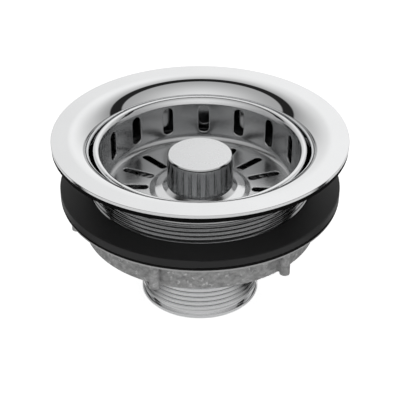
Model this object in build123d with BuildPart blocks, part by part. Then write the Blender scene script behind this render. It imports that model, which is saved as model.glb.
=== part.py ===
from build123d import *
import os

# Sink basket strainer waste. Lengths are in millimetres. Z is the axis of the waste, and Z = 0 is the
# underside of the steel flange, where its seal lies. Depths are measured down from there.
# The basket stands raised, as it does to strain.

# Drawn bowl with flange
bowl_sheet = 1.27
bowl_radius = 42.0
roll_radius = 9.0
flange_width = 6.15
flange_edge = 0.25
bowl_depth = 42.23
bowl_corner = 6.0
floor_fall = 2.3
floor_bend = 5.0
seat_radius = 26.5

# Seal under the flange
seal_thickness = 1.6
seal_inset = 0.15

# Thread on the bowl's wall, 14 turns to the inch: how far its crest stands out from the sheet, its depth
# below that crest, and its first turn's height above the end of the straight wall
thread_rise = 0.23
thread_depth = 0.7
thread_pitch = 25.4 / 14
thread_run_in = 1.33

# Both threads: half of a ridge's width at its foot and at its crest, as shares of the pitch, and how deep
# the foot is rooted in the wall
ridge_foot = 0.46
ridge_crest = 0.15
ridge_root = 0.15

# Spider in the bowl's floor, and the hub that guides the stem
hub_bore = 4.6
hub_length = 4.8
hub_bend = 1.6
window_inner = 8.0
window_outer = 18.5
window_corner = 1.5
spoke_width = 4.5
spoke_count = 4

# Outlet, with a thread of 11.5 turns to the inch above a plain land at its end
outlet_radius = 23.86
outlet_bore = 20.6
outlet_depth = 70.43
outlet_chamfer = 0.3
outlet_land = 1.5
outlet_thread_depth = 1.06
outlet_pitch = 25.4 / 11.5
outlet_run_in = 3.24
collar_margin = 0.5
collar_thickness = 1.6
collar_fillet = 0.8

# Gasket, friction washer and locknut
gasket_depth = 19.63
gasket_width = 10.85
gasket_thickness = 3.4
gasket_round = 0.4
washer_width = 10.8
washer_thickness = 0.9
nut_flange_width = 10.68
nut_flange_thickness = 1.15
nut_height = 14.7
nut_wall = 2.4
nut_draft = 1.0
nut_fillet = 0.5
post_count = 6
post_turn = 10.0
post_radius = 1.95
post_lift = 1.2
post_reach = 3.1
post_web = 2.2

# Basket
basket_sheet = 0.7
basket_turn = -2.3
floor_depth = 23.73
floor_corner = 3.0
rim_reach = 3.15
rim_depth = 4.15
rim_bead = 0.95
rim_curl = 1.75
rim_slope_run = 1.0
rim_slope_rise = 2.75
rim_shoulder = 1.5
rim_bend = 0.8
step_outer = 19.9
step_inner = 17.85
step_rise = 0.95
hill_foot = 14.6
hill_foot_rise = 1.6
hill_top = 12.6
hill_depth = 20.83
hill_bend = 0.8
hill_shoulder = 1.0
slot_count = 16
wall_slot_width = 4.5
wall_slot_top = 7.65
wall_slot_bottom = 20.1
floor_slot_width = 3.3
floor_slot_inset = 0.6
floor_slot_margin = 4.2

# Knob and its insert
knob_foot_radius = 13.0
knob_top_radius = 12.65
knob_height = 13.2
knob_bevel = 0.4
knob_dome = 0.35
knob_groove = 0.4
flute_count = 24
flute_radius = 0.8
flute_offset = 0.2
flute_margin = 1.0
flute_gap = 0.5
insert_radius = 4.6
insert_length = 9.0
insert_groove = 0.4

# Stem, spring clip and retaining ring
stem_thread = 2.5
stem_engagement = 7.5
stem_radius = 3.0
stem_depth = 54.43
stem_point = 1.2
stem_hex = 10.0
groove_radius = 2.4
ring_radius = 4.3
ring_thickness = 0.6
ring_mouth = 3.6
clip_sheet = 0.4
clip_taper = 3.0
clip_collar = 0.8
clip_slits = 4
slit_width = 0.9

# Stopper and its washer
stopper_radius = 24.0
stopper_lip_depth = 33.93
stopper_lip_height = 1.8
stopper_lip_width = 3.5
stopper_web = 2.6
stopper_shoulder = 13.0
stopper_round = 0.5
disc_radius = 10.0
disc_thickness = 1.0

# Clearances
rim_clearance = 0.65
nut_clearance = 0.3
gasket_clearance = 0.4
clip_clearance = 0.1
stem_clearance = 0.2
insert_clearance = 0.02
thread_clearance = 0.05
end_clearance = 0.05
neck_clearance = 1.0
floor_gap = 0.7
hub_gap = 0.2

# Sizes that follow from those above
roll_axis_radius = bowl_radius + roll_radius
roll_axis_height = bowl_sheet - roll_radius
flange_radius = roll_axis_radius + flange_width
thread_radius = bowl_radius + bowl_sheet + thread_rise
thread_low = -(bowl_depth - floor_fall - bowl_corner) + thread_run_in
thread_root = thread_radius - thread_depth
thread_turns = (roll_axis_height - thread_low - ridge_foot * thread_pitch) // thread_pitch
thread_height = thread_turns * thread_pitch
floor_under = -(bowl_depth + bowl_sheet)
collar_under = floor_under - collar_thickness
land_top = -outlet_depth + outlet_land
outlet_root = outlet_radius - outlet_thread_depth
outlet_low = -outlet_depth + outlet_run_in
outlet_turns = (collar_under - outlet_low - ridge_foot * outlet_pitch) // outlet_pitch
nut_bore = thread_radius + nut_clearance
ring_bore = thread_radius + gasket_clearance
gasket_radius = ring_bore + gasket_width
washer_radius = ring_bore + washer_width
nut_flange_radius = nut_bore + nut_flange_width
nut_foot_radius = nut_bore + nut_wall
post_circle = nut_foot_radius + post_reach
gasket_top = -gasket_depth
washer_top = gasket_top - gasket_thickness
nut_top = washer_top - washer_thickness
nut_flange_under = nut_top - nut_flange_thickness
nut_foot = nut_top - nut_height
rim_radius = bowl_radius - rim_clearance
basket_radius = rim_radius - rim_reach
floor_slot_inner = step_outer + floor_slot_inset
floor_slot_outer = basket_radius - floor_slot_margin
basket_floor = -floor_depth
basket_under = basket_floor - basket_sheet
hill_under = -(hill_depth + basket_sheet)
knob_foot = -hill_depth
knob_top = knob_foot + knob_height
stem_hole = stem_thread + stem_clearance
disc_top = -(stopper_lip_depth - stopper_lip_height - stopper_web)
disc_under = disc_top - disc_thickness
stem_collar_foot = -(stopper_lip_depth - hub_gap)
ring_under = -(stem_depth - stem_point - ring_thickness)
ring_top = ring_under + ring_thickness
clip_bore = stem_radius + clip_clearance
clip_belly = hub_bore - clip_clearance - clip_sheet
clip_top = stem_collar_foot - end_clearance
clip_foot = ring_top + end_clearance

os.makedirs("parts", exist_ok=True)

# Bowl: the sheet's upper and inner face is drawn from the flange's edge to the hub, and given its
# thickness. The thread's root is turned into the wall, and its ridge is wound up it.
with BuildPart() as strainer_body:
    with BuildSketch(Plane.XZ) as bowl_section:
        with BuildLine():
            FilletPolyline(
                (flange_radius, bowl_sheet),
                (bowl_radius, bowl_sheet),
                (bowl_radius, -(bowl_depth - floor_fall)),
                (seat_radius, -bowl_depth),
                (hub_bore, -bowl_depth),
                (hub_bore, -(bowl_depth + hub_length)),
                radius=[roll_radius, bowl_corner, floor_bend, hub_bend],
            )
            offset(amount=bowl_sheet, side=Side.LEFT)
        make_face()
        fillet(bowl_section.vertices().group_by(Axis.X)[-1], flange_edge)
    revolve(axis=Axis.Z)
    with BuildSketch(Plane.XZ):
        with Locations((thread_root, thread_low + thread_height / 2)):
            Rectangle(
                thread_depth,
                thread_height + 2 * ridge_foot * thread_pitch,
                align=(Align.MIN, Align.CENTER),
            )
    revolve(axis=Axis.Z, mode=Mode.SUBTRACT)
    with BuildLine() as thread_path:
        Helix(thread_pitch, thread_height, thread_root, center=(0, 0, thread_low))
    with BuildSketch(Plane.XZ):
        with BuildLine():
            Polyline(
                (thread_root - ridge_root, thread_low - ridge_foot * thread_pitch),
                (thread_radius, thread_low - ridge_crest * thread_pitch),
                (thread_radius, thread_low + ridge_crest * thread_pitch),
                (thread_root - ridge_root, thread_low + ridge_foot * thread_pitch),
                close=True,
            )
        make_face()
    sweep(path=thread_path.wires()[0], is_frenet=True)
    with BuildSketch(Plane.XY.offset(-bowl_depth)) as windows:
        Circle(window_outer)
        Circle(window_inner, mode=Mode.SUBTRACT)
        with PolarLocations(0, spoke_count):
            Rectangle(
                window_outer, spoke_width, align=(Align.MIN, Align.CENTER), mode=Mode.SUBTRACT
            )
        fillet(windows.vertices(), window_corner)
    extrude(amount=bowl_sheet, both=True, mode=Mode.SUBTRACT)
strainer_body.part.label = "strainer_body"
export_step(strainer_body.part, "parts/strainer_body.step")

# Seal: black ring under the flange, flush with its edge, that beds it on the sink
with BuildPart() as flange_seal:
    with BuildSketch(Plane.XY):
        Circle(flange_radius - seal_inset)
        Circle(roll_axis_radius + seal_inset, mode=Mode.SUBTRACT)
    extrude(amount=-seal_thickness)
flange_seal.part.label = "flange_seal"
export_step(flange_seal.part, "parts/flange_seal.step")

# Outlet: turned tube with a collar that is welded to the underside of the bowl's floor, a plain land at
# its end, and the ridge of its thread between them
with BuildPart() as outlet_spigot:
    with BuildSketch(Plane.XZ) as outlet_section:
        with BuildLine():
            Polyline(
                (outlet_bore, floor_under),
                (seat_radius - collar_margin, floor_under),
                (seat_radius - collar_margin, collar_under),
                (outlet_root, collar_under),
                (outlet_root, land_top),
                (outlet_radius, land_top),
                (outlet_radius, -outlet_depth),
                (outlet_bore, -outlet_depth),
                close=True,
            )
        make_face()
        foot_corners = outlet_section.vertices().group_by(Axis.Y)[0]
        chamfer(foot_corners, outlet_chamfer)
        neck_corner = outlet_section.vertices().group_by(Axis.Y)[-2].sort_by(Axis.X)[0]
        fillet(neck_corner, collar_fillet)
    revolve(axis=Axis.Z)
    with BuildLine() as outlet_path:
        Helix(outlet_pitch, outlet_turns * outlet_pitch, outlet_root, center=(0, 0, outlet_low))
    with BuildSketch(Plane.XZ):
        with BuildLine():
            Polyline(
                (outlet_root - ridge_root, outlet_low - ridge_foot * outlet_pitch),
                (outlet_radius, outlet_low - ridge_crest * outlet_pitch),
                (outlet_radius, outlet_low + ridge_crest * outlet_pitch),
                (outlet_root - ridge_root, outlet_low + ridge_foot * outlet_pitch),
                close=True,
            )
        make_face()
    sweep(path=outlet_path.wires()[0], is_frenet=True)
outlet_spigot.part.label = "outlet_spigot"
export_step(outlet_spigot.part, "parts/outlet_spigot.step")

# Gasket: moulded rubber ring round the thread
with BuildPart() as rubber_gasket:
    with BuildSketch(Plane.XY.offset(gasket_top)):
        Circle(gasket_radius)
        Circle(ring_bore, mode=Mode.SUBTRACT)
    extrude(amount=-gasket_thickness)
    outer_edges = rubber_gasket.edges().filter_by(GeomType.CIRCLE).group_by(SortBy.RADIUS)[-1]
    fillet(outer_edges, gasket_round)
rubber_gasket.part.label = "rubber_gasket"
export_step(rubber_gasket.part, "parts/rubber_gasket.step")

# Friction washer: thin fibre ring that lets the locknut turn under the gasket
with BuildPart() as friction_washer:
    with BuildSketch(Plane.XY.offset(washer_top)):
        Circle(washer_radius)
        Circle(ring_bore, mode=Mode.SUBTRACT)
    extrude(amount=-washer_thickness)
friction_washer.part.label = "friction_washer"
export_step(friction_washer.part, "parts/friction_washer.step")

# Locknut: die-cast ring with a flange, a drafted skirt and posts to turn it by. Its thread is left out.
with BuildPart() as locknut:
    with BuildSketch(Plane.XZ) as nut_section:
        with BuildLine():
            Polyline(
                (nut_bore, nut_top),
                (nut_flange_radius, nut_top),
                (nut_flange_radius, nut_flange_under),
                (nut_foot_radius + nut_draft, nut_flange_under),
                (nut_foot_radius, nut_foot),
                (nut_bore, nut_foot),
                close=True,
            )
        make_face()
        fillet(nut_section.vertices().group_by(Axis.X)[-1], nut_fillet)
        fillet(nut_section.vertices().group_by(Axis.Y)[0].sort_by(Axis.X)[-1], nut_fillet)
    revolve(axis=Axis.Z)
    with BuildSketch(Plane.XY.offset(nut_flange_under)) as posts:
        with PolarLocations(post_circle, post_count, start_angle=post_turn):
            Circle(post_radius)
            Rectangle(post_reach + nut_draft, post_web, align=(Align.MAX, Align.CENTER))
    extrude(amount=nut_foot + post_lift - nut_flange_under)
locknut.part.label = "locknut"
export_step(locknut.part, "parts/locknut.step")

# Basket: drawn sheet from the hole under the knob, over the hill and step, across the floor, up the wall
# and round the rolled rim, then punched with slots
with BuildPart() as basket:
    with BuildSketch(Plane.XZ):
        with BuildLine():
            FilletPolyline(
                (stem_hole, -hill_depth),
                (hill_top, -hill_depth),
                (hill_foot, basket_floor + hill_foot_rise),
                (step_inner, basket_floor + step_rise),
                (step_outer, basket_floor),
                (basket_radius, basket_floor),
                (basket_radius, -(rim_depth + rim_slope_rise)),
                (basket_radius + rim_slope_run, -rim_depth),
                (rim_radius, -rim_depth),
                (rim_radius, -(rim_depth + rim_curl)),
                radius=[
                    hill_shoulder, hill_bend, hill_bend, hill_bend,
                    floor_corner, rim_bend, rim_shoulder, rim_bead,
                ],
            )
            offset(amount=basket_sheet, side=Side.RIGHT)
        make_face()
    revolve(axis=Axis.Z)
    with BuildSketch(Plane.XY.offset(basket_floor)):
        with PolarLocations((floor_slot_inner + floor_slot_outer) / 2, slot_count, start_angle=basket_turn):
            SlotOverall(floor_slot_outer - floor_slot_inner, floor_slot_width)
    extrude(amount=basket_sheet, both=True, mode=Mode.SUBTRACT)
    slot_middle = -(wall_slot_top + wall_slot_bottom) / 2
    for index in range(slot_count):
        slot_plane = Plane.XZ.rotated((0, 0, basket_turn + index * 360 / slot_count))
        with BuildSketch(slot_plane):
            with Locations((0, slot_middle)):
                SlotOverall(wall_slot_bottom - wall_slot_top, wall_slot_width, rotation=90)
        extrude(amount=rim_radius, mode=Mode.SUBTRACT)
basket.part.label = "basket"
export_step(basket.part, "parts/basket.step")

# Knob: moulded cap with a bevelled, slightly domed top, a groove below the bevel, flutes that grow shallow
# towards that groove because the sides lean in, and a blind hole for its insert
with BuildPart() as knob:
    groove_top = knob_top - knob_dome - knob_bevel
    groove_foot = groove_top - knob_groove
    with BuildSketch(Plane.XZ):
        with BuildLine():
            Polyline(
                (insert_radius, knob_foot),
                (knob_foot_radius, knob_foot),
                (knob_top_radius, groove_foot),
                (knob_top_radius - knob_groove, groove_foot),
                (knob_top_radius - knob_groove, groove_top),
                (knob_top_radius, groove_top),
                (knob_top_radius - knob_bevel, knob_top - knob_dome),
            )
            Spline(
                (knob_top_radius - knob_bevel, knob_top - knob_dome),
                ((knob_top_radius - knob_bevel) / 2, knob_top - knob_dome / 4),
                (0, knob_top),
                tangents=[(-1, 2 * knob_dome / (knob_top_radius - knob_bevel)), (-1, 0)],
            )
            Polyline(
                (0, knob_top),
                (0, knob_foot + insert_length),
                (insert_radius, knob_foot + insert_length),
                (insert_radius, knob_foot),
            )
        make_face()
    revolve(axis=Axis.Z)
    with Locations((0, 0, knob_foot + flute_margin)):
        with PolarLocations(knob_foot_radius + flute_offset, flute_count, start_angle=basket_turn):
            Cylinder(
                flute_radius,
                groove_foot - flute_gap - knob_foot - flute_margin,
                align=(Align.CENTER, Align.CENTER, Align.MIN),
                mode=Mode.SUBTRACT,
            )
knob.part.label = "knob"
export_step(knob.part, "parts/knob.step")

# Insert: turned brass sleeve with a retaining groove, moulded into the knob
with BuildPart() as knob_insert:
    with BuildSketch(Plane.XY.offset(knob_foot)):
        Circle(insert_radius - insert_clearance)
        Circle(stem_thread + thread_clearance, mode=Mode.SUBTRACT)
    extrude(amount=insert_length - end_clearance)
    with BuildSketch(Plane.XY.offset(knob_foot + insert_length / 2)):
        Circle(insert_radius)
        Circle(insert_radius - insert_groove, mode=Mode.SUBTRACT)
    extrude(amount=insert_groove, both=True, mode=Mode.SUBTRACT)
knob_insert.part.label = "knob_insert"
export_step(knob_insert.part, "parts/knob_insert.step")

# Stopper: rubber bell that hangs under the hill, clear of the floor slots, and seals on the bowl's floor
with BuildPart() as stopper:
    neck_radius = hill_top - basket_sheet - neck_clearance
    web_height = stopper_web / 2
    with BuildSketch(Plane.XZ) as stopper_section:
        with BuildLine():
            Polyline(
                (stem_hole, hill_under),
                (neck_radius, hill_under),
                (neck_radius, basket_under - floor_gap),
                (stopper_shoulder, basket_under - floor_gap - web_height),
                (stopper_radius, -(stopper_lip_depth - stopper_lip_height)),
                (stopper_radius, -stopper_lip_depth),
                (stopper_radius - stopper_lip_width, -stopper_lip_depth),
                (stopper_shoulder, disc_top),
                (stem_hole, disc_top),
                close=True,
            )
        make_face()
        fillet(stopper_section.vertices().group_by(Axis.X)[-1].sort_by(Axis.Y)[-1], stopper_round)
    revolve(axis=Axis.Z)
stopper.part.label = "stopper"
export_step(stopper.part, "parts/stopper.step")

# Stopper washer: steel disc that spreads the stem's collar over the rubber
with BuildPart() as stopper_washer:
    with BuildSketch(Plane.XY.offset(disc_top)):
        Circle(disc_radius)
        Circle(stem_hole, mode=Mode.SUBTRACT)
    extrude(amount=-disc_thickness)
stopper_washer.part.label = "stopper_washer"
export_step(stopper_washer.part, "parts/stopper_washer.step")

# Stem: turned post with a threaded top, a hex collar, a groove for the ring and a pointed end
with BuildPart() as stem:
    with BuildSketch(Plane.XZ):
        with BuildLine():
            Polyline(
                (0, knob_foot + stem_engagement),
                (stem_thread, knob_foot + stem_engagement),
                (stem_thread, disc_under),
                (stem_radius, disc_under),
                (stem_radius, ring_top),
                (groove_radius, ring_top),
                (groove_radius, ring_under),
                (stem_radius, ring_under),
                (stem_radius - stem_point / 2, -stem_depth),
                (0, -stem_depth),
                close=True,
            )
        make_face()
    revolve(axis=Axis.Z)
    with BuildSketch(Plane.XY.offset(disc_under)):
        RegularPolygon(stem_hex / 2, 6, major_radius=False)
    extrude(amount=stem_collar_foot - disc_under)
stem.part.label = "stem"
export_step(stem.part, "parts/stem.step")

# Spring clip: rolled sleeve with a belly that rubs in the hub, slit into fingers
with BuildPart() as spring_clip:
    with BuildSketch(Plane.XZ):
        with BuildLine():
            Polyline(
                (clip_bore, clip_foot),
                (clip_bore, clip_foot + clip_collar),
                (clip_belly, clip_foot + clip_collar + clip_taper),
                (clip_belly, clip_top - clip_collar - clip_taper),
                (clip_bore, clip_top - clip_collar),
                (clip_bore, clip_top),
            )
            offset(amount=clip_sheet, side=Side.RIGHT)
        make_face()
    revolve(axis=Axis.Z)
    with BuildSketch(Plane.XY.offset(clip_foot + clip_collar)):
        with PolarLocations(0, clip_slits):
            Rectangle(hub_bore, slit_width, align=(Align.MIN, Align.CENTER))
    extrude(amount=clip_top - clip_foot - 2 * clip_collar, mode=Mode.SUBTRACT)
spring_clip.part.label = "spring_clip"
export_step(spring_clip.part, "parts/spring_clip.step")

# Retaining ring: stamped open ring in the stem's groove
with BuildPart() as stem_ring:
    with BuildSketch(Plane.XY.offset(ring_under)):
        Circle(ring_radius)
        Circle(groove_radius + insert_clearance, mode=Mode.SUBTRACT)
        Rectangle(ring_radius, ring_mouth, align=(Align.MIN, Align.CENTER), mode=Mode.SUBTRACT)
    extrude(amount=ring_thickness)
stem_ring.part.label = "stem_ring"
export_step(stem_ring.part, "parts/stem_ring.step")
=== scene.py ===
from math import asin, atan2, pi, radians, tan

import bmesh
import bpy
from mathutils import Matrix, Vector


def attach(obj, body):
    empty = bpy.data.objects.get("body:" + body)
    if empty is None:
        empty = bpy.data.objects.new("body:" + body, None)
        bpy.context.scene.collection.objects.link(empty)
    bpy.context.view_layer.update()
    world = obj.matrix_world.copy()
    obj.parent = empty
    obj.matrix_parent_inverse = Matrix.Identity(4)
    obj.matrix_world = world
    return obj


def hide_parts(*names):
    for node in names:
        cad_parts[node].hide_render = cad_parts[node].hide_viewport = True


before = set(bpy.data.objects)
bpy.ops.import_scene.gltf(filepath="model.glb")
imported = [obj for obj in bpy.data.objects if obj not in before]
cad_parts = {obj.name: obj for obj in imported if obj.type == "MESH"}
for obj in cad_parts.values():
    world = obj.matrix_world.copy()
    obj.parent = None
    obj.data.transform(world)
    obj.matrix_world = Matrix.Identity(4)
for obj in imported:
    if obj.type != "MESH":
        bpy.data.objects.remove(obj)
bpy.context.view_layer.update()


# Strainer body: the drawn stainless bowl with its flange, the roll between them, the clamp thread rolled on
# its wall, and the spider and hub pierced in its floor. Its flange and the top of the roll are mirror
# polished, the rest is duller and darker, the darker colour partly a painted shade deep in the bowl and
# under the flange. It drops through the sink's hole.
bowl_steps = 192
flange_radius = 57.15
flange_top = 1.27
flange_edge = 0.25
bowl_inside = 42.0
bowl_outside = 43.27
roll_inside = 9.0
roll_outside = 7.73
wall_foot_inside = -39.93
wall_foot_outside = -41.03
corner_inside = 6.0
corner_outside = 7.27
dish_inside = 26.5
dish_outside = 26.59
dish_bend_inside = 5.0
dish_bend_outside = 6.27
bowl_floor = -42.23
bowl_under = -43.5
hub_bore = 4.6
hub_outside = 5.87
hub_foot = -47.03
hub_edge = 0.3
hub_bend_inside = 1.6
hub_bend_outside = 0.33
thread_root = 42.8
thread_crest = 43.5
thread_pitch = 1.8143
thread_start = -32.6
thread_turns = 13
thread_low = -33.4
thread_high = -8.2
neck_low = -33.9
neck_high = -7.75
window_inner = 8.0
window_outer = 18.5
window_corner = 1.5
window_steps_inner = 10
window_steps_outer = 20
window_corner_steps = 6
spoke_count = 4
spoke_half = 2.25
spider_inner = 7.0
spider_outer = 24.0
polish_depth = -11.0
merge_gap = 1e-6
steel_dark = (0.79, 0.795, 0.80)
steel_light = (0.81, 0.815, 0.82)
steel_dull_and_shade = (0.47, 0.472, 0.475)
dull_roughness = 0.07


def rounded_outline(bm, corners):
    """A closed wire through (radius, height, fillet) corners, in millimetres, with an arc at each fillet."""
    posts = [bm.verts.new((radius / 1000, 0, height / 1000)) for radius, height, _ in corners]
    for pair in zip(posts, posts[1:] + posts[:1]):
        bm.edges.new(pair)
    for post, (_, _, fillet) in zip(posts, corners):
        if fillet:
            one, two = (edge.other_vert(post).co - post.co for edge in post.link_edges)
            turn = pi - one.angle(two)
            arc_steps = max(4, round(6 * turn * fillet**0.5))
            bmesh.ops.bevel(
                bm, geom=[post], offset=fillet / 1000 * tan(turn / 2), offset_type="OFFSET",
                segments=arc_steps, affect="VERTICES", profile=0.5, material=-1,
            )


def turn_on_lathe(bm, steps):
    """Spins everything drawn so far about the waste's axis."""
    bmesh.ops.spin(
        bm, geom=bm.verts[:] + bm.edges[:], cent=(0, 0, 0), axis=(0, 0, 1), dvec=(0, 0, 0), angle=2 * pi,
        steps=steps, use_merge=True, use_normal_flip=False, use_duplicate=False,
    )
    bmesh.ops.remove_doubles(bm, verts=bm.verts, dist=merge_gap)
    bmesh.ops.recalc_face_normals(bm, faces=bm.faces)


def weld_in(bm, part):
    """Adds a separately drawn part to the mesh and merges the edges that meet."""
    mesh = bpy.data.meshes.new("part")
    part.to_mesh(mesh)
    part.free()
    bm.from_mesh(mesh)
    bpy.data.meshes.remove(mesh)
    bmesh.ops.remove_doubles(bm, verts=bm.verts, dist=merge_gap)
    bmesh.ops.recalc_face_normals(bm, faces=bm.faces)


def verts_in(made):
    """The vertices among what an operator has made."""
    return [item for item in made["geom"] if isinstance(item, bmesh.types.BMVert)]


def roll_thread(bm, root, crest, pitch, low, turns, flat=0.15):
    """A right-hand ridge wound up from low, in millimetres, that runs out into the wall at both ends.

    Flat is half the width of the ridge's crest, as a share of the pitch.
    """
    steps = 96
    buried = root - 0.15
    foot = 0.46 * pitch
    crest_half = flat * pitch
    crest_edge = 0.14
    run_out_turns = 0.4
    ridge = bmesh.new()
    rounded_outline(ridge, [
        (buried, -foot, 0), (crest, -crest_half, crest_edge),
        (crest, crest_half, crest_edge), (buried, foot, 0),
    ])
    bmesh.ops.translate(ridge, verts=ridge.verts, vec=(0, 0, low / 1000))
    bmesh.ops.spin(
        ridge, geom=ridge.verts[:] + ridge.edges[:], cent=(0, 0, 0), axis=(0, 0, 1),
        dvec=(0, 0, pitch / 1000 / steps), angle=2 * pi, steps=steps,
        use_merge=False, use_normal_flip=False, use_duplicate=False,
    )
    one_turn = ridge.faces[:] + ridge.edges[:] + ridge.verts[:]
    for turn in range(1, turns):
        lifted = verts_in(bmesh.ops.duplicate(ridge, geom=one_turn))
        bmesh.ops.translate(ridge, verts=lifted, vec=(0, 0, turn * pitch / 1000))
    bmesh.ops.remove_doubles(ridge, verts=ridge.verts, dist=merge_gap)
    for vert in ridge.verts:
        angle = atan2(vert.co.y, vert.co.x) / (2 * pi) % 1
        wound = round((vert.co.z * 1000 - low) / pitch - angle) + angle
        rise = max(0, min(1, wound / run_out_turns, (turns - wound) / run_out_turns))
        radius = vert.co.xy.length
        vert.co.xy *= (buried / 1000 + (radius - buried / 1000) * rise) / radius
    bmesh.ops.holes_fill(ridge, edges=[edge for edge in ridge.edges if edge.is_boundary], sides=0)
    weld_in(bm, ridge)


def make_piece(bm, name, node, body):
    """Closes the mesh as a piece that stands for its CAD node and rides on that node's body."""
    crease = radians(40)
    for edge in bm.edges:
        edge.smooth = edge.calc_face_angle(0) < crease
    for face in bm.faces:
        face.smooth = True
    mesh = bpy.data.meshes.new(name)
    bm.to_mesh(mesh)
    bm.free()
    piece = bpy.data.objects.new(name, mesh)
    bpy.context.scene.collection.objects.link(piece)
    flats = piece.modifiers.new("Flat faces stay flat", "WEIGHTED_NORMAL")
    flats.keep_sharp = True
    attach(piece, body)
    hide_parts(node)
    return piece


bm = bmesh.new()
rounded_outline(bm, [
    (flange_radius, flange_top, flange_edge), (bowl_inside, flange_top, roll_inside),
    (bowl_inside, wall_foot_inside, corner_inside), (dish_inside, bowl_floor, dish_bend_inside),
    (spider_outer, bowl_floor, 0), (spider_inner, bowl_floor, 0),
    (hub_bore, bowl_floor, hub_bend_inside), (hub_bore, hub_foot, hub_edge),
    (hub_outside, hub_foot, hub_edge), (hub_outside, bowl_under, hub_bend_outside),
    (spider_inner, bowl_under, 0), (spider_outer, bowl_under, 0),
    (dish_outside, bowl_under, dish_bend_outside), (bowl_outside, wall_foot_outside, corner_outside),
    (bowl_outside, neck_low, 0), (thread_root, thread_low, 0),
    (thread_root, thread_high, 0), (bowl_outside, neck_high, 0),
    (bowl_outside, 0, roll_outside), (flange_radius, 0, flange_edge),
])
turn_on_lathe(bm, bowl_steps)
plain_floor = [
    face for face in bm.faces
    if spider_inner < 1000 * face.calc_center_median().xy.length < spider_outer and abs(face.normal.z) > 0.999
]
bmesh.ops.delete(bm, geom=plain_floor, context="FACES_ONLY")
spider = bmesh.new()
for radius in (spider_inner, spider_outer):
    bmesh.ops.create_circle(spider, cap_ends=False, segments=bowl_steps, radius=radius / 1000)
for spoke in range(spoke_count):
    ends = []
    for radius, steps in ((window_inner, window_steps_inner), (window_outer, window_steps_outer)):
        lean = asin(spoke_half / radius)
        swing = Matrix.Rotation(spoke * 2 * pi / spoke_count + lean, 3, "Z")
        first = spider.verts.new(swing @ Vector((radius / 1000, 0, 0)))
        arc = bmesh.ops.spin(
            spider, geom=[first], cent=(0, 0, 0), axis=(0, 0, 1), dvec=(0, 0, 0),
            angle=2 * pi / spoke_count - 2 * lean, steps=steps,
            use_merge=False, use_normal_flip=False, use_duplicate=False,
        )
        ends.append((first, arc["geom_last"][0]))
    for pair in zip(*ends):
        spider.edges.new(pair)
    for corner in ends[0] + ends[1]:
        bmesh.ops.bevel(
            spider, geom=[corner], offset=window_corner / 1000, offset_type="OFFSET",
            segments=window_corner_steps, affect="VERTICES", profile=0.5, material=-1,
        )
bmesh.ops.triangle_fill(spider, use_beauty=True, use_dissolve=False, edges=spider.edges[:])
bmesh.ops.translate(spider, verts=spider.verts, vec=(0, 0, bowl_floor / 1000))
lowered = verts_in(bmesh.ops.extrude_face_region(spider, geom=spider.faces[:], use_keep_orig=True))
bmesh.ops.translate(spider, verts=lowered, vec=(0, 0, (bowl_under - bowl_floor) / 1000))


def meets_bowl(vert):
    """Whether a vertex of the spider lies on one of its two rings, which weld to the bowl."""
    radius = vert.co.xy.length * 1000
    near = 0.01
    return min(abs(radius - spider_inner), abs(radius - spider_outer)) < near


joints = [face for face in spider.faces if all(meets_bowl(vert) for vert in face.verts)]
bmesh.ops.delete(spider, geom=joints, context="FACES_ONLY")
weld_in(bm, spider)
roll_thread(bm, thread_root, thread_crest, thread_pitch, thread_start, thread_turns)
# Faces deep in the bowl, and faces under the flange that look out or down, get the duller finish; its darker
# colour is partly a painted shade.
unpolished_and_shaded = bm.faces.layers.float.new("unpolished_and_shaded")
for face in bm.faces:
    middle = face.calc_center_median()
    deep = middle.z < polish_depth / 1000
    under_flange = middle.z < -0.0001
    faces_out = face.normal.xy.dot(middle.xy.normalized()) > 0.02
    faces_down = face.normal.z < -0.3
    face[unpolished_and_shaded] = float(deep or under_flange and (faces_out or faces_down))
strainer_body = make_piece(bm, "bowl_with_flange", "strainer_body", "body")


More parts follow.
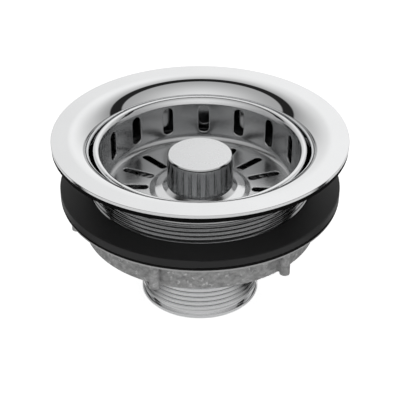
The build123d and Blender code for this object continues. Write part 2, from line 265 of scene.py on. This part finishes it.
class Finish:
    """A material, or the studio's surround, whose nodes are added in a line with their inputs by name."""

    def __init__(self, name, holders=bpy.data.materials):
        self.holder = holders.new(name)
        self.holder.use_nodes = True
        self.tree = self.holder.node_tree
        self.tree.nodes.clear()
        self.places = self.add("ShaderNodeTexCoord").outputs

    def add(self, kind, inputs=None, **settings):
        """One node, whose inputs are numbers, colours or the outputs of other nodes."""
        node = self.tree.nodes.new(kind)
        for key, value in settings.items():
            setattr(node, key, value)
        for key, value in (inputs or {}).items():
            if isinstance(value, bpy.types.NodeSocket):
                self.tree.links.new(value, node.inputs[key])
            else:
                node.inputs[key].default_value = value
        return node

    def split(self, place):
        """The X, Y and Z of a place."""
        return self.add("ShaderNodeSeparateXYZ", {"Vector": place}).outputs

    def from_axis(self):
        """How far a point lies from the waste's axis, and how high."""
        parts = self.split(self.places["Object"])
        across = self.add("ShaderNodeCombineXYZ", {"X": parts["X"], "Y": parts["Y"]}).outputs["Vector"]
        return self.add("ShaderNodeVectorMath", {0: across}, operation="LENGTH").outputs["Value"], parts["Z"]

    def work_out(self, one, operation, two=0.0):
        """Puts one value or two through an operation such as ADD, MULTIPLY or MAXIMUM."""
        return self.add("ShaderNodeMath", {0: one, 1: two}, operation=operation).outputs[0]

    def noise(self, scale, detail=2.0, stretch=(1, 1, 1), roughness=0.5):
        """Noise over the piece, with scale in features per metre."""
        place = self.add("ShaderNodeMapping", {"Vector": self.places["Object"], "Scale": stretch})
        return self.add("ShaderNodeTexNoise", {
            "Vector": place.outputs["Vector"], "Scale": scale, "Detail": detail, "Roughness": roughness,
        }).outputs["Fac"]

    def spread(self, value, low, high, start=0.3, end=0.7, step="LINEAR"):
        """Maps a value from start..end to low..high."""
        return self.add("ShaderNodeMapRange", {
            "Value": value, "From Min": start, "From Max": end, "To Min": low, "To Max": high,
        }, interpolation_type=step).outputs["Result"]

    def past(self, length, start, end):
        """From 0 at start to 1 at end, both in millimetres, for a height or a distance on the piece."""
        return self.spread(length, 0, 1, start / 1000, end / 1000)

    def blend(self, factor, low, high):
        """A colour between low and high."""
        mix = self.add("ShaderNodeMix", {"Factor": factor}, data_type="RGBA")
        for socket, colour in ((mix.inputs[6], low), (mix.inputs[7], high)):
            if isinstance(colour, bpy.types.NodeSocket):
                self.tree.links.new(colour, socket)
            else:
                socket.default_value = (*colour, 1)
        return mix.outputs[2]

    def bump(self, height, depth, normal=None):
        """A bump whose height of 1 stands depth millimetres proud."""
        inputs = {"Height": height, "Distance": depth / 1000, "Strength": 1.0}
        if normal is not None:
            inputs["Normal"] = normal
        return self.add("ShaderNodeBump", inputs).outputs["Normal"]

    def coat(self, *pieces, **inputs):
        """Ends the line in one principled shader and puts the material on each piece."""
        shader = self.add("ShaderNodeBsdfPrincipled", {key.replace("_", " "): v for key, v in inputs.items()})
        self.add("ShaderNodeOutputMaterial", {"Surface": shader.outputs["BSDF"]})
        for piece in pieces:
            piece.data.materials.clear()
            piece.data.materials.append(self.holder)


def turning_marks(finish, scale):
    """Fine rings about the waste's axis, as a polishing wheel or a lathe tool leaves them."""
    radius, height = finish.from_axis()
    ring = finish.add("ShaderNodeCombineXYZ", {"X": radius, "Z": height}).outputs["Vector"]
    return finish.add(
        "ShaderNodeTexNoise", {"Vector": ring, "Scale": scale, "Detail": 3.0, "Roughness": 0.6}
    ).outputs["Fac"]


polish = Finish("polished_steel")
haze = polish.noise(55, detail=3)
rings = turning_marks(polish, 3500)
# The marked faces are darker: a duller finish, and partly a painted shade deep in the bowl and under the
# flange.
dull_and_shade = polish.add("ShaderNodeAttribute", attribute_name="unpolished_and_shaded").outputs["Fac"]
bright = polish.blend(polish.spread(haze, 0, 1), steel_dark, steel_light)
shine = polish.spread(haze, 0.03, 0.05)
polish.coat(
    strainer_body, Base_Color=polish.blend(dull_and_shade, bright, steel_dull_and_shade), Metallic=1.0,
    Roughness=polish.work_out(shine, "ADD", polish.spread(dull_and_shade, 0, dull_roughness, 0, 1)),
    Normal=polish.bump(rings, 0.0006),
)


# Flange seal: ring of black closed-cell foam stuck under the flange, flush with its edge. It beds the flange
# on the sink, and its cut side shows as a black band; its near-black colour is partly a painted shade under
# the flange.
foam_and_shade_dark = (0.001, 0.001, 0.001)
foam_and_shade_light = (0.003, 0.003, 0.003)
foam = Finish("seal_foam")
cells = foam.noise(3200, detail=4)
# Near black: partly the foam's own colour, partly a painted shade under the flange.
foam.coat(
    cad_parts["flange_seal"], Base_Color=foam.blend(foam.spread(cells, 0, 1), foam_and_shade_dark, foam_and_shade_light),
    Roughness=foam.spread(cells, 0.8, 0.95), Specular_IOR_Level=0.1, Normal=foam.bump(cells, 0.04),
)


# Outlet: turned tube with a welded collar and a parallel pipe thread, bright plated. A trap's nut screws on
# to it. The thread runs from under the collar to a plain land at the chamfered end, and its roots are painted
# dark grey as shade.
outlet_steps = 160
outlet_bore = 20.6
outlet_root = 22.8
outlet_crest = 23.86
outlet_pitch = 2.209
outlet_start = -67.19
outlet_turns = 9
outlet_flat = 0.27
collar_radius = 26.0
collar_foot = -45.1
collar_edge = 0.2
collar_bend = 0.8
land_top = -68.93
land_edge = 0.2
outlet_foot = -70.43
mouth_edge = 0.3
root_shade_heights = (-67.6, -66.4)
root_shade_radii = (23.3, 22.9)
plate_dark = (0.80, 0.805, 0.81)
plate_light = (0.84, 0.845, 0.85)
root_painted_shade = (0.20, 0.20, 0.20)
bm = bmesh.new()
rounded_outline(bm, [
    (outlet_bore, bowl_under, 0), (collar_radius, bowl_under, collar_edge),
    (collar_radius, collar_foot, collar_edge), (outlet_root, collar_foot, collar_bend),
    (outlet_root, land_top, land_edge), (outlet_crest, land_top, land_edge),
    (outlet_crest, outlet_foot, mouth_edge), (outlet_bore, outlet_foot, mouth_edge),
])
turn_on_lathe(bm, outlet_steps)
roll_thread(bm, outlet_root, outlet_crest, outlet_pitch, outlet_start, outlet_turns, outlet_flat)
outlet_spigot = make_piece(bm, "outlet_with_thread", "outlet_spigot", "body")
plate = Finish("outlet_chrome")
wear = plate.noise(160, detail=4)
cuts = turning_marks(plate, 2600)
reach, level = plate.from_axis()
# Painted shade: the thread's roots are coloured dark grey.
root_shade_mask = plate.work_out(plate.past(level, *root_shade_heights), "MULTIPLY", plate.past(reach, *root_shade_radii))
crests = plate.blend(plate.spread(wear, 0, 1), plate_dark, plate_light)
plate.coat(
    outlet_spigot, Base_Color=plate.blend(root_shade_mask, crests, root_painted_shade), Metallic=1.0,
    Roughness=plate.spread(wear, 0.06, 0.11), Normal=plate.bump(cuts, 0.002),
)


# Gasket: moulded black rubber ring that seals under the sink, slipped over the thread. Its faces keep the
# mould's fine matt grain.
rubber_dark = (0.016, 0.016, 0.0165)
rubber_light = (0.020, 0.020, 0.0205)
rubber = Finish("gasket_rubber")
grain = rubber.noise(2600, detail=4)
bloom = rubber.noise(60, detail=3)
rubber.coat(
    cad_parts["rubber_gasket"],
    Base_Color=rubber.blend(rubber.spread(bloom, 0, 1), rubber_dark, rubber_light),
    Roughness=rubber.spread(grain, 0.45, 0.55), Specular_IOR_Level=0.32, Normal=rubber.bump(grain, 0.03),
)


# Friction washer: thin ring of pressed dark fibre between gasket and locknut, coloured near black, partly
# a painted shade line between them. It is slipped over the thread, and lets the nut turn without dragging
# the rubber round.
fibre_and_shade_dark = (0.002, 0.002, 0.0019)
fibre_and_shade_light = (0.006, 0.0056, 0.005)
fibre = Finish("washer_fibre")
felt = fibre.noise(1800, detail=5, stretch=(1, 1, 4))
# Near black: partly the fibre's own colour, partly a painted shade line between gasket and nut.
fibre.coat(
    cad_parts["friction_washer"],
    Base_Color=fibre.blend(fibre.spread(felt, 0, 1), fibre_and_shade_dark, fibre_and_shade_light),
    Roughness=fibre.spread(felt, 0.75, 0.9), Specular_IOR_Level=0.15, Normal=fibre.bump(felt, 0.04),
)


# Locknut: raw die-cast zinc ring with a flange, a drafted skirt and six posts to turn it by. The casting skin
# is mottled with light and dark flow marks and flecked, and the flange's edge is a plain pale grey.
nut_edge = (52.0, 53.5)
zinc_dark = (0.30, 0.30, 0.30)
zinc_light = (0.56, 0.56, 0.56)
zinc_fleck = (0.78, 0.78, 0.78)
zinc_edge = (0.58, 0.58, 0.58)
zinc = Finish("cast_zinc")
flow = zinc.noise(430, detail=6, stretch=(1, 1, 1.2), roughness=0.68)
skin = zinc.noise(1500, detail=3)
flecks = zinc.spread(zinc.noise(620), 0, 1, 0.60, 0.74)
reach, _ = zinc.from_axis()
cast = zinc.blend(zinc.spread(flow, 0, 1, 0.36, 0.66), zinc_dark, zinc_light)
flecked = zinc.blend(flecks, cast, zinc_fleck)
zinc.coat(
    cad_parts["locknut"], Base_Color=zinc.blend(zinc.past(reach, *nut_edge), flecked, zinc_edge),
    Metallic=0.2, Roughness=zinc.spread(flow, 0.65, 0.5), Specular_IOR_Level=0.3,
    Normal=zinc.bump(skin, 0.05, normal=zinc.bump(flow, 0.12)),
)


# Basket: drawn stainless sheet with a rolled rim, punched with slots in its wall and floor. The rim and the
# middle are polished, the rest of the inside keeps a satin draw finish, and the punched edges are rounded
# and painted bright as a highlight.
rim_foot = (-6.5, -7.0)
satin_start = (-5.2, -6.2)
middle_edge = (17.9, 18.2)
slot_edge = 0.6
slot_edge_flatness = (0.7, 0.98)
middle_roughness = 0.1
inside_roughness = 0.19
basket_polish = (0.78, 0.785, 0.79)
satin_dark = (0.63, 0.635, 0.64)
satin_light = (0.66, 0.665, 0.67)
painted_edge_highlight = (0.95, 0.955, 0.96)
satin = Finish("satin_steel")
draw = satin.noise(120, detail=3, stretch=(1, 1, 3))
fine = turning_marks(satin, 1800)
reach, level = satin.from_axis()
off_middle = satin.past(reach, *middle_edge)
inside = satin.work_out(satin.past(level, *rim_foot), "MULTIPLY", off_middle)
satin_depth = satin.spread(off_middle, middle_roughness, inside_roughness, 0, 1)
roughened = satin.work_out(satin.past(level, *satin_start), "MULTIPLY", satin_depth)
# The punched edges are rounded in the shading, and their colour is a painted highlight.
rounded = satin.add("ShaderNodeBevel", {"Radius": slot_edge / 1000}, samples=8).outputs["Normal"]
facing = satin.add("ShaderNodeNewGeometry").outputs["Normal"]
flatness = satin.add("ShaderNodeVectorMath", {0: rounded, 1: facing}, operation="DOT_PRODUCT")
edge_highlight_mask = satin.spread(flatness.outputs["Value"], 1, 0, *slot_edge_flatness)
drawn = satin.blend(satin.spread(draw, 0, 1), satin_dark, satin_light)
satin.coat(
    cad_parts["basket"],
    Base_Color=satin.blend(edge_highlight_mask, satin.blend(inside, basket_polish, drawn), painted_edge_highlight), Metallic=1.0,
    Roughness=satin.work_out(satin.spread(draw, 0.04, 0.07), "ADD", roughened),
    Normal=satin.bump(fine, 0.0006, normal=rounded),
)


# Knob: satin plated moulding with a slightly domed top and flutes that fade towards its foot. The top is
# brushed, with a groove round it painted near black as shade, and the sides are painted darker than the top
# as shade. It stands on the basket's hill, screwed down from below.
brushed_edge = -7.98
groove_top = -8.38
groove_foot = -8.80
groove_blur = 0.02
lid_dark = (0.70, 0.705, 0.71)
lid_light = (0.72, 0.725, 0.73)
side_painted_shade = (0.45, 0.455, 0.46)
groove_painted_shade = (0.06, 0.06, 0.06)
brushed_roughness = 0.16
satin_plate = Finish("knob_chrome")
touch = satin_plate.noise(140, detail=4)
level = satin_plate.split(satin_plate.places["Object"])["Z"]
brushed = satin_plate.past(level, brushed_edge - groove_blur, brushed_edge + groove_blur)
lid = satin_plate.past(level, groove_top - groove_blur, groove_top + groove_blur)
side = satin_plate.past(level, groove_foot + groove_blur, groove_foot - groove_blur)
lid_plate = satin_plate.blend(satin_plate.spread(touch, 0, 1), lid_dark, lid_light)
# Painted shade: a near-black band round the top's edge, and sides darker than the top.
side_and_groove_shade = satin_plate.blend(side, groove_painted_shade, side_painted_shade)
satin_plate.coat(
    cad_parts["knob"], Base_Color=satin_plate.blend(lid, side_and_groove_shade, lid_plate), Metallic=1.0,
    Roughness=satin_plate.work_out(
        satin_plate.spread(touch, 0.1, 0.13), "ADD", satin_plate.spread(brushed, 0, brushed_roughness, 0, 1)
    ),
    Normal=satin_plate.bump(satin_plate.noise(900), 0.0003),
)


# Knob insert: turned brass sleeve with a retaining groove, moulded into the knob. The stem screws into it
# from below.
brass_dark = (0.52, 0.36, 0.13)
brass_light = (0.66, 0.48, 0.2)
brass = Finish("insert_brass")
tarnish = brass.noise(300, detail=4)
brass.coat(
    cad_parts["knob_insert"],
    Base_Color=brass.blend(brass.spread(tarnish, 0, 1), brass_dark, brass_light), Metallic=1.0,
    Roughness=brass.spread(tarnish, 0.2, 0.4), Normal=brass.bump(turning_marks(brass, 4000), 0.005),
)


# Stopper: moulded rubber bell under the basket, which shuts the bowl's floor when the basket is pushed down.
# The stem's collar holds it up against the basket.
bell_dark = (0.010, 0.010, 0.0105)
bell_light = (0.016, 0.016, 0.0165)
bell = Finish("stopper_rubber")
mould = bell.noise(2200, detail=4)
bell.coat(
    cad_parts["stopper"],
    Base_Color=bell.blend(bell.spread(bell.noise(80, detail=3), 0, 1), bell_dark, bell_light),
    Roughness=bell.spread(mould, 0.5, 0.65), Specular_IOR_Level=0.35, Normal=bell.bump(mould, 0.03),
)


# Stem and stopper washer: turned stainless bar with a hex collar, and the stamped disc above that collar.
# The lathe has left fine rings on both.
bar_dark = (0.56, 0.565, 0.57)
bar_light = (0.64, 0.645, 0.65)
bar = Finish("turned_steel")
tool = turning_marks(bar, 5200)
bar.coat(
    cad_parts["stem"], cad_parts["stopper_washer"],
    Base_Color=bar.blend(bar.spread(tool, 0, 1), bar_dark, bar_light), Metallic=1.0,
    Roughness=bar.spread(tool, 0.18, 0.3), Normal=bar.bump(tool, 0.006),
)


# Spring clip and stem ring: the slit sleeve that grips the bowl's hub, rolled from spring steel, and the
# stamped ring that holds it on the stem. The strip's fine grain runs along the stem.
spring_dark = (0.42, 0.43, 0.44)
spring_light = (0.55, 0.56, 0.57)
spring = Finish("spring_steel")
strip = spring.noise(900, detail=4, stretch=(1, 1, 0.08))
spring.coat(
    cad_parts["spring_clip"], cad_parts["stem_ring"],
    Base_Color=spring.blend(spring.spread(strip, 0, 1), spring_dark, spring_light), Metallic=1.0,
    Roughness=spring.spread(strip, 0.2, 0.35), Normal=spring.bump(strip, 0.006),
)


# Floor: a plain pale paper sheet under the outlet's end, which keeps the waste's soft shadow. It is white to
# the camera and pale in the metal, apart from a strip on each side of the outlet painted dark as shade,
# which only the metal shows.
sheet_radius = 1200
sheet_gap = 0.07
sheet_steps = 96
strip_front = (-36, -12)
strip_back = (20, 4)
strip_side = (18, 32)
camera_white = 0.74
mirror_white = 0.3
paper_dark = (0.80, 0.80, 0.80)
paper_light = (0.82, 0.82, 0.82)
painted_shade_grey = (0.06, 0.06, 0.06)
bm = bmesh.new()
bmesh.ops.create_circle(bm, cap_ends=True, segments=sheet_steps, radius=sheet_radius / 1000)
bmesh.ops.translate(bm, verts=bm.verts, vec=(0, 0, (outlet_foot - sheet_gap) / 1000))
sheet = bpy.data.meshes.new("floor")
bm.to_mesh(sheet)
bm.free()
floor = bpy.data.objects.new("floor", sheet)
bpy.context.scene.collection.objects.link(floor)
paper = Finish("paper_floor")
path = paper.add("ShaderNodeLightPath").outputs
mirrored = paper.work_out(path["Is Glossy Ray"], "MAXIMUM", path["Is Transmission Ray"])
spot = paper.split(paper.places["Object"])
# Painted shade: dark strips beside the outlet, seen only in reflections.
along = paper.work_out(paper.past(spot["Y"], *strip_front), "MULTIPLY", paper.past(spot["Y"], *strip_back))
aside = paper.past(paper.work_out(spot["X"], "ABSOLUTE"), *strip_side)
shaded = paper.work_out(mirrored, "MULTIPLY", paper.work_out(along, "MULTIPLY", aside))
lit = paper.work_out(mirrored, "SUBTRACT", shaded)
seen = paper.spread(path["Is Camera Ray"], 0, camera_white, 0, 1)
lift = paper.work_out(seen, "MAXIMUM", paper.spread(lit, 0, mirror_white, 0, 1))
white = paper.blend(paper.noise(700, detail=3), paper_dark, paper_light)
paper.coat(
    floor, Base_Color=paper.blend(shaded, white, painted_shade_grey), Roughness=0.9, Specular_IOR_Level=0.0,
    Emission_Color=(1, 1, 1, 1), Emission_Strength=lift,
)


# Studio: a white wall behind the waste, a grey room in front of it, and a dark beam overhead between them,
# all as one soft surround that lights the pieces and shows in the polished ones. It is white to the camera.
beam_light = 0.02
beam_edge = 0.115
beam_clear = 0.165
beam_bow = (0.015, 0.115)
beam_tilt = 0.05
wall_depths = (0.15, 0.65)
wall_light = (0.62, 0.99)
wall_sides = (-0.2, 0.2)
wall_side_light = (0.905, 1.07)
wall_end_light = 0.54
room_light = 0.42
room_gain = 0.46
room_heights = (-0.15, 0.1)
room_low_light = 0.45
ground_heights = (-0.02, -0.06)
studio = Finish("studio", bpy.data.worlds)
bpy.context.scene.world = studio.holder


def glide(value, start, end, low=0.0, high=1.0):
    """A smooth step from low to high as a part of the look's direction goes from start to end."""
    return studio.spread(value, low, high, start, end, "SMOOTHSTEP")


side, depth, height = studio.split(studio.places["Generated"])
aside = studio.work_out(side, "ABSOLUTE")
bow = studio.work_out(glide(aside, 0, 1, *beam_bow), "SUBTRACT", studio.work_out(side, "MULTIPLY", beam_tilt))
off_beam = studio.work_out(depth, "SUBTRACT", bow)
behind = glide(off_beam, beam_edge, beam_clear)
before = glide(off_beam, -beam_edge, -beam_clear)
wall = glide(depth, *wall_depths, *wall_light)
wall = studio.work_out(wall, "MULTIPLY", glide(side, *wall_sides, *wall_side_light))
wall = studio.work_out(wall, "MULTIPLY", glide(aside, 0, 1, 1.0, wall_end_light))
room = studio.work_out(studio.work_out(depth, "MULTIPLY", depth), "MULTIPLY", room_gain)
room = studio.work_out(room, "ADD", room_light)
room = studio.work_out(room, "MULTIPLY", glide(height, *room_heights, room_low_light, 1.0))
light = studio.work_out(
    studio.work_out(behind, "MULTIPLY", wall), "ADD", studio.work_out(before, "MULTIPLY", room)
)
light = studio.work_out(light, "ADD", beam_light)
light = studio.work_out(light, "MAXIMUM", glide(height, *ground_heights))
light = studio.work_out(light, "MAXIMUM", studio.add("ShaderNodeLightPath").outputs["Is Camera Ray"])
surround = studio.add("ShaderNodeBackground", {"Color": (1, 1, 1, 1), "Strength": light})
studio.add("ShaderNodeOutputWorld", {"Surface": surround.outputs["Background"]})


# Camera: a long lens in front of and above the waste, in line with its axis. It is aimed at a point on that
# axis, a little above the middle of the waste's height, so that flange and outlet both fit the square frame.
lens = 108.66
film_width = 36
eye = Vector((0, -0.40215, 0.23268))
aim = Vector((0, 0, -0.02938))
camera = bpy.data.objects.new("camera", bpy.data.cameras.new("camera"))
bpy.context.scene.collection.objects.link(camera)
camera.data.lens = lens
camera.data.sensor_width = film_width
camera.location = eye
camera.rotation_euler = (aim - eye).to_track_quat("-Z", "Y").to_euler()
bpy.context.scene.camera = camera
bpy.context.scene.view_settings.view_transform = "Standard"
